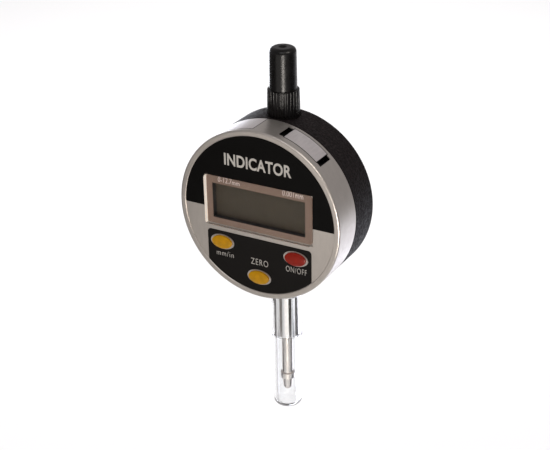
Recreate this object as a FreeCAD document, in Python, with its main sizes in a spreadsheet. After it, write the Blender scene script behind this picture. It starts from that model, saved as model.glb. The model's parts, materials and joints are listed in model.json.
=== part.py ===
import FreeCAD, Part
import os

import Sketcher
from FreeCAD import Placement, Rotation, Vector

# Digital dial indicator: a round display unit that swivels on a round rear housing, with the
# spindle, its stem and its dust cap on one upright axis through the rear housing.
#
# Row frame: +Z up the spindle axis, +X to the right across the face, the face looks along -Y.
# The origin is on the spindle axis, at the top of the stem's clamping length.
#
# Two drawing frames share the body's centre height. On the face frame a piece is drawn as it is
# seen from the front: x right, y up, z out of the face, with z = 0 on the face's front plane, so a
# depth behind the face is a negative z. On the axis frame z runs up the spindle from the body's
# centre height.

SIZES = {
    # where the frames lie
    "centre_height": 31.0,
    "spindle_depth": 18.7,
    "body_depth": 25.4,
    # display unit
    "front_radius": 30.15,
    "front_depth": 12.0,
    "front_rounding": 0.6,
    "small_edge": 0.3,
    "fit_gap": 0.05,
    "wall_overlap": 0.4,
    "overshoot": 1.0,
    "face_radius": 28.2,
    "face_recess": 0.25,
    "face_wall": 1.8,
    "shell_radius": 27.6,
    "swivel_seat_radius": 28.45,
    "swivel_seat_depth": 10.9,
    "label_front": 0.15,
    "label_gap": 0.1,
    "label_split_up": 0.0,
    "keypad_half": 19.85,
    "keypad_top": -8.35,
    "keypad_corner": 1.3,
    "keypad_low_corner": 0.8,
    # lens, mask and display glass
    "lens_width": 40.5,
    "lens_height": 17.9,
    "lens_up": 2.55,
    "lens_proud": 0.8,
    "lens_back": 0.6,
    "mask_front": 0.65,
    "lens_corner": 1.2,
    "lens_edge": 0.3,
    "lens_gap": 0.1,
    "mask_back": 0.8,
    "mask_margin": 0.4,
    "mask_corner": 0.9,
    "mask_width": 35.0,
    "mask_height": 12.6,
    "window_up": 2.45,
    "window_margin": 0.7,
    "glass_width": 38.0,
    "glass_height": 14.1,
    "glass_up": 2.4,
    "glass_front": 2.9,
    "glass_back": 4.5,
    "glass_frame_wall": 1.4,
    "glass_frame_front": 0.85,
    "glass_lip": 0.6,
    "glass_frame_height": 15.7,
    "glass_frame_up": 2.25,
    "strip_height": 1.6,
    "strip_up": 6.2,
    # circuit board
    "board_radius": 26.3,
    "board_half": 21.8,
    "board_top": 10.1,
    "board_front": 7.2,
    "board_back": 8.2,
    "chip_size": 7.0,
    "chip_height": 1.4,
    "chip_x": -14.0,
    "chip_up": -6.0,
    "crystal_radius": 1.0,
    "crystal_length": 6.0,
    "crystal_x": 13.0,
    "crystal_up": -11.0,
    "board_post_x": 7.5,
    "board_post_up": -18.5,
    "board_post_radius": 1.7,
    # screws
    "screw_radius": 0.8,
    "screw_head_radius": 1.7,
    "screw_head_height": 0.9,
    "screw_length": 4.5,
    "screw_recess": 0.1,
    "screw_cross_depth": 0.45,
    "screw_cross_long": 1.65,
    "screw_cross_wide": 0.65,
    "screw_clearance": 0.02,
    "pilot_overlap": 0.5,
    "board_hole_gap": 0.1,
    "plate_boss_x": 25.4,
    "plate_boss_up": 5.0,
    "plate_boss_low_x": 24.6,
    "plate_boss_low_up": -8.0,
    "plate_boss_radius": 2.1,
    "back_boss_offset": 17.6,
    "back_boss_radius": 2.4,
    # buttons
    "button_long": 3.85,
    "button_short": 2.3,
    "button_dome_long": 4.5,
    "button_dome_short": 2.69,
    "button_dome_rise": 1.25,
    "crown_overlap": 0.1,
    "button_clearance": 0.06,
    "button_rim_long": 0.7,
    "button_rim_short": 0.4,
    "button_rim_front": -0.05,
    "button_flange": 0.8,
    "button_flange_front": 2.15,
    "button_flange_back": 2.95,
    "button_plunger_radius": 1.1,
    "button_plunger_back": 6.05,
    "dome_radius": 2.4,
    "dome_front": 6.6,
    "side_button_x": 14.05,
    "side_button_up": -12.3,
    "zero_button_up": -22.5,
    # battery drawer, drawn upright at the top of the rim and then turned
    "drawer_angle": 29.4,
    "drawer_half": 6.75,
    "drawer_front": 3.0,
    "drawer_back": 10.6,
    "drawer_low": 16.75,
    "drawer_floor": 0.9,
    "drawer_gap": 0.2,
    "bay_wall": 0.6,
    "cell_radius": 5.8,
    "cell_height": 5.4,
    "cell_front": 4.0,
    "cell_up": 23.0,
    "cell_gap": 0.07,
    "nail_slot_width": 1.7,
    "nail_slot_low": 27.0,
    "nail_slot_front": 3.1,
    "nail_slot_back": 10.1,
    "nail_block_half": 9.5,
    "nail_block_low": 25.8,
    "contact_half": 1.4,
    "contact_thickness": 0.22,
    "contact_length": 8.0,
    "contact_bump_radius": 1.1,
    "contact_slit_gap": 0.2,
    "slit_overlap": 0.1,
    # data port and its cover, drawn the same way
    "port_angle": 18.0,
    "port_half": 7.2,
    "port_front": 2.05,
    "port_floor_radius": 28.8,
    "port_plug_overlap": 0.3,
    "port_gap": 0.14,
    "port_mouth_half": 4.5,
    "port_mouth_front": 5.0,
    "port_mouth_back": 9.0,
    "port_mouth_low": 26.8,
    "port_board_thickness": 0.8,
    "port_block_half": 6.5,
    "port_plug_low": 27.8,
    # swivel joint
    "swivel_gap": 0.1,
    "swivel_plate_radius": 28.35,
    "pivot_radius": 8.0,
    "pivot_clearance": 0.05,
    "pivot_bore": 5.0,
    "pivot_neck": 6.6,
    "pivot_shoulder": 10.8,
    "pivot_front": 9.6,
    "retainer_radius": 10.0,
    "retainer_front": 9.7,
    # rear housing
    "rear_radius": 30.15,
    "rear_rounding": 0.8,
    "web_back": 13.5,
    "rear_inner_radius": 26.6,
    "cover_radius": 27.8,
    "cover_front": 23.9,
    "cover_gap": 0.1,
    "axis_boss_radius": 6.4,
    "axis_boss_inner": 22.5,
    "spot_radius": 5.8,
    "spot_low": 29.2,
    "spot_high": 29.35,
    # stem
    "stem_radius": 4.0,
    "stem_bore": 2.9,
    "stem_top": -23.0,
    "stem_flange_radius": 5.3,
    "stem_groove_radius": 3.7,
    "stem_groove_top": -36.3,
    "stem_groove_bottom": -37.1,
    "stem_bottom": -54.0,
    "stem_chamfer": 0.4,
    "bush_length": 7.0,
    "lower_bush_inset": 0.4,
    "spindle_clearance": 0.04,
    "nipple_radius": 3.6,
    "nipple_top": 35.2,
    # spindle and contact point
    "spindle_radius": 2.0,
    "spindle_top": 37.0,
    "spindle_bottom": -70.0,
    "spindle_chamfer": 0.4,
    "point_shank_radius": 1.1,
    "point_shank_length": 4.8,
    "point_shank_gap": 0.2,
    "point_radius": 2.6,
    "point_shoulder": -72.0,
    "point_stub": -72.5,
    "point_stub_radius": 1.95,
    "point_nose_radius": 1.6,
    "point_nose": -75.9,
    "ball_radius": 1.5,
    "ball_up": -75.8,
    "carrier_half": 4.2,
    "carrier_front": 15.7,
    "carrier_back": 21.5,
    "carrier_low": -9.0,
    "carrier_high": 1.0,
    "scale_half": 4.5,
    "scale_front": 14.9,
    "scale_low": -19.0,
    "scale_high": 7.0,
    "stop_radius": 3.3,
    "stop_low": -21.5,
    "stop_high": -20.0,
    "bumper_radius": 3.3,
    "bumper_gap": 0.1,
    # guide, spring and reader
    "guide_pin_radius": 0.9,
    "guide_pin_depth": 19.6,
    "guide_pin_up": -4.0,
    "guide_pin_reach": -10.0,
    "guide_clearance": 0.05,
    "rail_inner": -7.0,
    "rail_outer": -11.0,
    "rail_low": -8.0,
    "rail_high": 13.0,
    "rail_back": 22.2,
    "rail_slot_low": -5.1,
    "rail_slot_high": 9.9,
    "spring_x": 9.0,
    "spring_radius": 1.6,
    "spring_wire": 0.2,
    "spring_pitch": 1.0,
    "spring_low": -20.0,
    "spring_length": 16.0,
    "spring_pin_radius": 0.7,
    "spring_pin_gap": 0.3,
    "reader_half": 6.4,
    "reader_half_height": 9.0,
    "reader_back": 14.3,
    "ribbon_half": 2.0,
    "ribbon_half_thickness": 0.1,
    "ribbon_gap": 0.1,
    # dust cap
    "cap_bottom": 29.55,
    "cap_collar_radius": 5.55,
    "cap_collar_top_radius": 5.32,
    "cap_collar_top": 38.7,
    "cap_shaft_radius": 4.62,
    "cap_tip_radius": 4.46,
    "cap_shoulder": 0.2,
    "cap_top": 53.0,
    "cap_rounding": 1.6,
    "cap_dimple_radius": 1.45,
    "cap_dimple_depth": 1.3,
    "cap_thread_radius": 3.65,
    "cap_thread_top": 35.6,
    "cap_bore_radius": 3.0,
    "cap_bore_top": 50.4,
    "flute_count": 30,
    "flute_radius": 0.42,
    "flute_centre_radius": 5.55,
    "flute_start": 0.7,
    # clear guard tube
    "guard_top": -36.95,
    "guard_step": -54.1,
    "guard_step_drop": 0.4,
    "guard_bottom": -83.0,
    "guard_collar_radius": 5.5,
    "guard_radius": 5.1,
    "guard_grip_radius": 4.05,
    "guard_ledge": -54.1,
    "guard_bore_radius": 3.85,
    "guard_floor": -82.0,
    "guard_rounding": 1.6,
    "guard_inner_rounding": 0.9,
}


class Size:
    """A length or an angle: its number, and the sheet formula that gives it."""

    def __init__(self, number, formula):
        self.number = float(number)
        self.formula = formula

    def __add__(self, other):
        other = sized(other)
        return Size(self.number + other.number, f"({self.formula} + {other.formula})")

    def __sub__(self, other):
        other = sized(other)
        return Size(self.number - other.number, f"({self.formula} - {other.formula})")

    def __mul__(self, factor):
        return Size(self.number * factor, f"({self.formula} * {factor})")

    def __truediv__(self, factor):
        return Size(self.number / factor, f"({self.formula} / {factor})")

    def __neg__(self):
        return Size(-self.number, f"(-1 * {self.formula})")


def sized(item):
    return item if isinstance(item, Size) else Size(item, repr(float(item)))


class Sheet:
    """The driving dimensions, each an attribute with the name of its cell."""

    def __init__(self, cells):
        for row, (alias, number) in enumerate(SIZES.items(), start=1):
            cells.set(f"A{row}", alias)
            cells.set(f"B{row}", str(number))
            cells.setAlias(f"B{row}", alias)
            setattr(self, alias, Size(number, f"Sizes.{alias}"))


doc = FreeCAD.newDocument("DialIndicator")
d = Sheet(doc.addObject("Spreadsheet::Sheet", "Sizes"))
doc.recompute()

NODES = []
FACE_TURN = Rotation(Vector(1, 0, 0), 90)


# ---------------------------------------------------------------- helpers

def bind(obj, prop, size):
    """Set a numeric property and tie it to the sheet."""
    setattr(obj, prop, sized(size).number)
    obj.setExpression(prop, sized(size).formula)


def move(obj, x=0.0, y=0.0, z=0.0, turn=None):
    """Place an object by sheet formulas, turned first if `turn` is given."""
    at = [sized(x), sized(y), sized(z)]
    obj.Placement = Placement(Vector(*[size.number for size in at]), turn or Rotation())
    for letter, size in zip("xyz", at):
        obj.setExpression(f"Placement.Base.{letter}", size.formula)
    return obj


def node(obj, name):
    obj.Label = name
    NODES.append(obj)
    return obj


def on_face(obj, name, angle=0.0):
    """Finish a node drawn on the face frame, turned clockwise by `angle` as seen from the front."""
    turn = FACE_TURN.multiply(Rotation(Vector(0, 0, 1), -angle))
    return node(move(obj, 0, -d.spindle_depth, d.centre_height, turn), name)


def on_axis(obj, name):
    """Finish a node drawn on the axis frame."""
    return node(move(obj, 0, 0, d.centre_height), name)


def body(name):
    return doc.addObject("PartDesign::Body", name + "_body")


def sketch(owner, name, role="XY_Plane", height=0.0):
    """A sketch on one of the body's own origin planes, `height` along its normal."""
    made = owner.newObject("Sketcher::SketchObject", name)
    plane = next(item for item in owner.Origin.OriginFeatures if item.Role == role)
    made.AttachmentSupport = (plane, "")
    made.MapMode = "FlatFace"
    made.AttachmentOffset = Placement(Vector(0, 0, sized(height).number), Rotation())
    made.setExpression("AttachmentOffset.Base.z", sized(height).formula)
    return made


def fix(made, kind, *where):
    """Add a dimension constraint whose value, the last item, is tied to the sheet."""
    size = sized(where[-1])
    index = made.addConstraint(Sketcher.Constraint(kind, *where[:-1], size.number))
    made.setExpression(f"Constraints[{index}]", size.formula)


def fix_point(made, curve, end, x, y):
    """Tie one end or centre of a curve to its x and y from the sketch's origin."""
    for kind, axis, size in (("DistanceX", -2, sized(x)), ("DistanceY", -1, sized(y))):
        if size.number == 0:
            made.addConstraint(Sketcher.Constraint("PointOnObject", curve, end, axis))
        else:
            fix(made, kind, -1, 1, curve, end, size)


def outline(made, points):
    """A closed outline of straight lines through points given as pairs of sizes."""
    at = [Vector(sized(x).number, sized(y).number, 0) for x, y in points]
    first = None
    count = len(points)
    for index in range(count):
        curve = made.addGeometry(Part.LineSegment(at[index], at[(index + 1) % count]), False)
        first = curve if first is None else first
        if index:
            made.addConstraint(Sketcher.Constraint("Coincident", curve - 1, 2, curve, 1))
    made.addConstraint(Sketcher.Constraint("Coincident", first + count - 1, 2, first, 1))
    for index, (x, y) in enumerate(points):
        fix_point(made, first + index, 1, x, y)


def rectangle(made, x, y, width, height):
    """A rectangle centred on x, y."""
    left = sized(x) - sized(width) / 2
    right = sized(x) + sized(width) / 2
    low = sized(y) - sized(height) / 2
    high = sized(y) + sized(height) / 2
    outline(made, [(left, low), (right, low), (right, high), (left, high)])


def circle(made, radius, x=0.0, y=0.0):
    centre = Vector(sized(x).number, sized(y).number, 0)
    curve = made.addGeometry(Part.Circle(centre, Vector(0, 0, 1), sized(radius).number), False)
    fix(made, "Radius", curve, radius)
    fix_point(made, curve, 3, x, y)


def plate(owner, name, depth, back, draw):
    """Pad what `draw` draws from `depth` behind the face plane to `back`."""
    made = sketch(owner, name + "_sketch", height=-sized(depth))
    draw(made)
    pad = owner.newObject("PartDesign::Pad", name)
    pad.Profile = made
    pad.Reversed = True
    bind(pad, "Length", sized(back) - depth)
    return pad


def hollow(owner, name, depth, back, draw):
    """Pocket what `draw` draws from `depth` behind the face plane to `back`."""
    made = sketch(owner, name + "_sketch", height=-sized(depth))
    draw(made)
    pocket = owner.newObject("PartDesign::Pocket", name)
    pocket.Profile = made
    bind(pocket, "Length", sized(back) - depth)
    return pocket


def turned(owner, name, points):
    """Revolve an outline of radius, height pairs about the body's own z axis."""
    made = sketch(owner, name + "_sketch", role="XZ_Plane")
    outline(made, points)
    turn = owner.newObject("PartDesign::Revolution", name)
    turn.Profile = made
    turn.ReferenceAxis = (made, ["V_Axis"])
    turn.Angle = 360
    doc.recompute()
    return turn


def ring_edges(shape, *rings):
    """Names of the circular edges about the z axis with these radius, height pairs."""
    found = []
    for index, edge in enumerate(shape.Edges, start=1):
        if not isinstance(edge.Curve, Part.Circle):
            continue
        for radius, height in rings:
            same_radius = abs(edge.Curve.Radius - sized(radius).number) < 1e-3
            same_height = abs(edge.Curve.Center.z - sized(height).number) < 1e-3
            on_the_axis = edge.Curve.Center.x ** 2 + edge.Curve.Center.y ** 2 < 1e-6
            if same_radius and same_height and on_the_axis:
                found.append(f"Edge{index}")
    return found


def upright_edges(shape, keep=None):
    """Names of the straight edges along z, those that `keep` accepts."""
    found = []
    for index, edge in enumerate(shape.Edges, start=1):
        box = edge.BoundBox
        if box.ZLength > 1e-3 and box.XLength < 1e-6 and box.YLength < 1e-6:
            if keep is None or keep(edge.CenterOfMass):
                found.append(f"Edge{index}")
    return found


def dress(owner, kind, name, base, edges, size):
    """Fillet or chamfer some edges of a body's last feature."""
    made = owner.newObject("PartDesign::" + kind, name)
    made.Base = (base, edges)
    bind(made, "Radius" if kind == "Fillet" else "Size", size)
    doc.recompute()
    return made


def block(name, left, right, low, high, depth, back):
    """A box on the face frame, from `depth` behind the face plane to `back`."""
    made = doc.addObject("Part::Box", name)
    bind(made, "Length", sized(right) - left)
    bind(made, "Width", sized(high) - low)
    bind(made, "Height", sized(back) - depth)
    return move(made, left, low, -sized(back))


def pillar(name, radius, x, up, depth, back):
    """A round pillar along the depth on the face frame."""
    made = doc.addObject("Part::Cylinder", name)
    bind(made, "Radius", radius)
    bind(made, "Height", sized(back) - depth)
    return move(made, x, up, -sized(back))


def oval(name, long_half, short_half, x, up, depth, back):
    """An elliptic prism on the face frame, longer across than up."""
    rim = doc.addObject("Part::Ellipse", name + "_rim")
    bind(rim, "MajorRadius", long_half)
    bind(rim, "MinorRadius", short_half)
    made = doc.addObject("Part::Extrusion", name)
    made.Base = rim
    made.DirMode = "Custom"
    made.Dir = Vector(0, 0, 1)
    made.Solid = True
    bind(made, "LengthFwd", sized(back) - depth)
    return move(made, x, up, -sized(back))


def join(name, *shapes):
    """Fuse shapes; a single one is only wrapped, so that it can be placed a second time."""
    if len(shapes) == 1:
        made = doc.addObject("Part::Compound", name)
        made.Links = list(shapes)
        return made
    made = doc.addObject("Part::MultiFuse", name)
    made.Shapes = list(shapes)
    return made


def cut(name, base, *tools):
    made = doc.addObject("Part::Cut", name)
    made.Base = base
    made.Tool = tools[0] if len(tools) == 1 else join(name + "_tools", *tools)
    return made


def overlap(name, first, second):
    made = doc.addObject("Part::Common", name)
    made.Base = first
    made.Tool = second
    return made


def turned_tool(name, angle, *shapes):
    """Join shapes drawn at the top of the rim and turn them clockwise about the body's centre."""
    made = join(name, *shapes)
    made.Placement = Placement(Vector(), Rotation(Vector(0, 0, 1), -angle))
    return made


def countersunk(name, x, up, face, sign, grow=0.0):
    """A countersunk screw, or with `grow` its hole; `sign` is +1 where it points out of the face."""
    reach = d.screw_head_height + d.screw_length
    head = doc.addObject("Part::Cone", name + "_head")
    bind(head, "Radius1", d.screw_radius + grow)
    bind(head, "Radius2", d.screw_head_radius + grow)
    bind(head, "Height", d.screw_head_height)
    shank = doc.addObject("Part::Cylinder", name + "_shank")
    bind(shank, "Radius", d.screw_radius + grow)
    bind(shank, "Height", reach)
    move(head, 0, 0, -d.screw_head_height)
    move(shank, 0, 0, -reach)
    parts = [head, shank]
    if grow:
        mouth = doc.addObject("Part::Cylinder", name + "_mouth")
        bind(mouth, "Radius", d.screw_head_radius + grow)
        bind(mouth, "Height", d.screw_head_height)
        parts.append(mouth)
    made = join(name, *parts)
    if not grow:
        slots = []
        arms = (d.screw_cross_long, d.screw_cross_wide)
        for index, (across, along) in enumerate((arms, arms[::-1])):
            slot = doc.addObject("Part::Box", f"{name}_slot{index}")
            bind(slot, "Length", across)
            bind(slot, "Width", along)
            bind(slot, "Height", d.screw_cross_depth)
            slots.append(move(slot, -across / 2, -along / 2, -d.screw_cross_depth))
        made = cut(name + "_cross", made, *slots)
    turn = Rotation() if sign > 0 else Rotation(Vector(1, 0, 0), 180)
    return move(made, x, up, -sized(face), turn)


# ---------------------------------------------------------------- display unit

def plate_boss_places():
    return [
        (d.plate_boss_x, d.plate_boss_up),
        (-d.plate_boss_x, d.plate_boss_up),
        (d.plate_boss_low_x, d.plate_boss_low_up),
        (-d.plate_boss_low_x, d.plate_boss_low_up),
    ]


def board_post_places():
    return [(d.board_post_x, d.board_post_up), (-d.board_post_x, d.board_post_up)]


def button_places():
    return {
        "mm_in": (-d.side_button_x, d.side_button_up),
        "zero": (sized(0), d.zero_button_up),
        "on_off": (d.side_button_x, d.side_button_up),
    }


def front_shell():
    """The cup of the display unit: flange, face wall, rim, lens window and screw bosses."""
    wall_back = d.face_recess + d.face_wall
    shell = body("front_shell")
    cup = turned(shell, "front_cup", [
        (0, -d.face_recess),
        (d.face_radius, -d.face_recess),
        (d.face_radius, 0),
        (d.front_radius, 0),
        (d.front_radius, -d.front_depth),
        (d.swivel_seat_radius, -d.front_depth),
        (d.swivel_seat_radius, -d.swivel_seat_depth),
        (d.shell_radius, -d.swivel_seat_depth),
        (d.shell_radius, -wall_back),
        (0, -wall_back),
    ])
    rim = ring_edges(cup.Shape, (d.front_radius, 0))
    rounded = dress(shell, "Fillet", "front_rounded", cup, rim, d.front_rounding)
    inner = ring_edges(rounded.Shape, (d.face_radius, 0), (d.front_radius, -d.front_depth))
    dress(shell, "Chamfer", "front_eased", rounded, inner, d.small_edge / 2)
    hollow(shell, "lens_seat", d.face_recess, d.mask_back, lambda made: rectangle(
        made, 0, d.lens_up, d.lens_width + d.lens_gap * 2, d.lens_height + d.lens_gap * 2))
    hollow(shell, "lens_window", d.face_recess, wall_back, lambda made: rectangle(
        made, 0, d.window_up, d.mask_width + d.window_margin * 2, d.mask_height + d.window_margin * 2))

    def bosses(made):
        for x, up in plate_boss_places():
            circle(made, d.plate_boss_radius, x, up)

    def posts(made):
        for x, up in board_post_places():
            circle(made, d.board_post_radius, x, up)

    plate(shell, "plate_bosses", wall_back, d.swivel_seat_depth, bosses)
    plate(shell, "board_posts", wall_back, d.board_front, posts)
    return shell


def battery_bay():
    """The walls round the drawer and the block behind its two nail slots."""
    wall_back = d.face_recess + d.face_wall
    outer = d.drawer_half + d.drawer_gap + d.bay_wall
    back = d.drawer_back + d.drawer_gap
    low = d.drawer_low - d.drawer_gap - d.bay_wall
    deep = d.shell_radius + d.bay_wall
    walls = block("bay_walls", -outer, outer, low, deep, wall_back, back)
    shoulder = block("nail_block", -d.nail_block_half, d.nail_block_half, d.nail_block_low, deep,
                     wall_back, back)
    return turned_tool("battery_bay", SIZES["drawer_angle"], walls, shoulder)


def battery_cutters():
    """The drawer's cavity, a recess for the front contact and the two nail slots."""
    half = d.drawer_half + d.drawer_gap
    over = d.front_radius + 1
    front = d.drawer_front - d.drawer_gap
    back = d.drawer_back + d.drawer_gap
    cavity = block("drawer_cavity", -half, half, d.drawer_low - d.drawer_gap, over, front, back)
    reach = d.contact_length / 2 + d.fit_gap
    contact = block("contact_recess", -d.contact_half - d.fit_gap, d.contact_half + d.fit_gap,
                    d.cell_up - reach, d.cell_up + reach, front - d.contact_thickness, front + d.fit_gap)
    tools = [cavity, contact]
    for side, left in (("right", half - d.fit_gap), ("left", -half + d.fit_gap - d.nail_slot_width)):
        tools.append(block(f"nail_slot_{side}", left, left + d.nail_slot_width, d.nail_slot_low, over,
                           d.nail_slot_front, d.nail_slot_back))
    return turned_tool("battery_cutters", SIZES["drawer_angle"], *tools)


def port_block():
    wall_back = d.face_recess + d.face_wall
    seat = block("port_seat", -d.port_block_half, d.port_block_half, d.port_mouth_low - d.bay_wall,
                 d.shell_radius + d.wall_overlap, wall_back, d.drawer_back)
    return turned_tool("port_block", -SIZES["port_angle"], seat)


def port_shell(name, grow):
    """A curved plate that fills the port's place in the rim, grown by a gap for the pocket."""
    half = d.port_half + grow
    outer = d.front_radius + (d.overshoot if grow else 0)
    inner = d.port_floor_radius - grow
    front = d.port_front - grow
    back = d.front_depth + grow
    slab = block(name + "_slab", -half, half, inner / 2, outer + d.overshoot, front, back)
    drum = pillar(name + "_drum", outer, 0, 0, front, back)
    core = pillar(name + "_core", inner, 0, 0, front - d.overshoot, back + d.overshoot)
    return cut(name, overlap(name + "_arc", slab, drum), core)


def port_cutters():
    mouth = block("port_mouth", -d.port_mouth_half, d.port_mouth_half, d.port_mouth_low,
                  d.front_radius, d.port_mouth_front, d.port_mouth_back)
    return turned_tool("port_cutters", -SIZES["port_angle"], port_shell("port_pocket", d.port_gap), mouth)


def button_rims():
    """The thin raised oval rims of the shell that show round each button."""
    rims = []
    for name, (x, up) in button_places().items():
        rims.append(oval(f"rim_{name}", d.button_long + d.button_rim_long,
                         d.button_short + d.button_rim_short, x, up,
                         d.button_rim_front, d.face_recess + d.small_edge))
    return rims


def button_holes():
    holes = []
    for name, (x, up) in button_places().items():
        holes.append(oval(f"hole_{name}", d.button_long + d.button_clearance,
                          d.button_short + d.button_clearance, x, up, -d.overshoot,
                          d.button_flange_front))
    return holes


def screw_pilots():
    """Holes for the swivel plate's and the circuit board's screws."""
    holes = []
    for index, (x, up) in enumerate(plate_boss_places()):
        holes.append(countersunk(f"plate_pilot{index}", x, up, d.front_depth - d.screw_recess, -1,
                                 d.screw_clearance))
    for index, (x, up) in enumerate(board_post_places()):
        holes.append(pillar(f"board_pilot{index}", d.screw_radius, x, up,
                            d.board_front - d.screw_length + d.pilot_overlap, d.board_front + d.overshoot))
    return holes


def make_front_housing():
    solid = join("front_solid", front_shell(), battery_bay(), port_block(), *button_rims())
    tools = [battery_cutters(), port_cutters(), *button_holes(), *screw_pilots()]
    on_face(cut("front_cut", solid, *tools), "front_housing")


def make_swivel_plate():
    plain = body("swivel_plate")
    plate(plain, "swivel_disc", d.swivel_seat_depth, d.front_depth, lambda made: (
        circle(made, d.swivel_plate_radius), circle(made, d.pivot_radius)))
    holes = [countersunk(f"plate_hole{index}", x, up, d.front_depth - d.screw_recess, -1, d.screw_clearance)
             for index, (x, up) in enumerate(plate_boss_places())]
    on_face(cut("swivel_cut", plain, *holes), "swivel_plate")
    for index, (x, up) in enumerate(plate_boss_places(), start=1):
        screw = countersunk(f"plate_screw{index}", x, up, d.front_depth - d.screw_recess, -1)
        on_face(join(f"plate_screw{index}_placed", screw), f"plate_screw_{index}")


def make_labels():
    """The two black panels laid in the recess of the face."""
    gap = d.label_gap
    radius = d.face_radius - gap
    upper = body("upper_label")
    plate(upper, "upper_disc", d.label_front, d.face_recess, lambda made: circle(made, radius))
    hollow(upper, "upper_half", d.label_front, d.face_recess, lambda made: rectangle(
        made, 0, d.label_split_up - d.front_radius, d.front_radius * 2, d.front_radius * 2))
    hollow(upper, "upper_window", d.label_front, d.face_recess, lambda made: rectangle(
        made, 0, d.lens_up, d.lens_width + gap * 2, d.lens_height + gap * 2))
    on_face(upper, "upper_label")

    keypad = body("keypad_label")
    low = d.front_radius + 1
    plate(keypad, "keypad_strip", d.label_front, d.face_recess, lambda made: rectangle(
        made, 0, (d.keypad_top - low) / 2, d.keypad_half * 2, low + d.keypad_top))
    doc.recompute()
    corners = upright_edges(keypad.Shape, lambda at: at.y > -d.front_radius.number)
    dress(keypad, "Fillet", "keypad_corners", keypad.Tip, corners, d.keypad_corner)
    disc = pillar("keypad_disc", radius, 0, 0, d.label_front, d.face_recess)
    holes = [oval(f"label_hole_{name}", d.button_long + d.button_rim_long + gap / 2,
                  d.button_short + d.button_rim_short + gap / 2, x, up, 0, 1)
             for name, (x, up) in button_places().items()]
    arc = overlap("keypad_arc", keypad, disc)
    doc.recompute()
    low_corners = upright_edges(arc.Shape, lambda at: at.y < d.side_button_up.number)
    soft = doc.addObject("Part::Fillet", "keypad_low_corners")
    soft.Base = arc
    size = d.keypad_low_corner.number
    soft.Edges = [(int(edge.removeprefix("Edge")), size, size) for edge in low_corners]
    on_face(cut("keypad_cut", soft, *holes), "keypad_label")


def make_display_window():
    """Lens, printed mask, display glass, its frame and the two contact strips behind it."""
    lens = body("display_lens")
    pad = plate(lens, "lens_plate", -d.lens_proud, d.lens_back, lambda made: rectangle(
        made, 0, d.lens_up, d.lens_width, d.lens_height))
    doc.recompute()
    soft = dress(lens, "Fillet", "lens_corners", pad, upright_edges(pad.Shape), d.lens_corner)
    front = [f"Edge{index}" for index, edge in enumerate(soft.Shape.Edges, start=1)
             if edge.BoundBox.ZMin > d.lens_proud.number - 1e-3]
    dress(lens, "Fillet", "lens_front", soft, front, d.lens_edge)
    on_face(lens, "display_lens")

    mask = body("lens_mask")
    outer = (d.lens_width - d.mask_margin * 2, d.lens_height - d.mask_margin * 2)
    printed = plate(mask, "mask_plate", d.mask_front, d.mask_back, lambda made: (
        rectangle(made, 0, d.lens_up, *outer),
        rectangle(made, 0, d.window_up, d.mask_width, d.mask_height)))
    doc.recompute()
    inside = d.mask_width.number / 2 + d.mask_margin.number
    outside = upright_edges(printed.Shape, lambda at: abs(at.x) > inside)
    dress(mask, "Fillet", "mask_corners", printed, outside, d.mask_corner)
    on_face(mask, "lens_mask")

    glass = body("lcd_glass")
    plate(glass, "glass_plate", d.glass_front, d.glass_back, lambda made: rectangle(
        made, 0, d.glass_up, d.glass_width, d.glass_height))
    on_face(glass, "lcd_glass")

    frame = body("lcd_frame")
    opening = (d.mask_width, d.mask_height)
    front = d.face_recess + d.face_wall + d.fit_gap
    plate(frame, "frame_walls", front, d.board_front, lambda made: rectangle(
        made, 0, d.glass_frame_up, d.glass_width + d.glass_frame_wall * 2, d.glass_frame_height))
    plate(frame, "frame_lip", d.glass_frame_front, front, lambda made: rectangle(
        made, 0, d.window_up, opening[0] + d.glass_lip * 2, opening[1] + d.glass_lip * 2))
    hollow(frame, "frame_opening", d.glass_frame_front, d.glass_front, lambda made: rectangle(
        made, 0, d.window_up, *opening))
    hollow(frame, "frame_pocket", d.glass_front, d.board_front, lambda made: rectangle(
        made, 0, d.glass_up, d.glass_width + d.fit_gap * 2, d.glass_height + d.fit_gap * 2))
    on_face(frame, "lcd_frame")

    for name, side in (("upper", 1), ("lower", -1)):
        strip = body(f"{name}_strip")
        plate(strip, f"{name}_strip_pad", d.glass_back, d.board_front, lambda made: rectangle(
            made, 0, d.glass_up + d.strip_up * side, d.mask_width, d.strip_height))
        on_face(strip, f"contact_strip_{name}")


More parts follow.
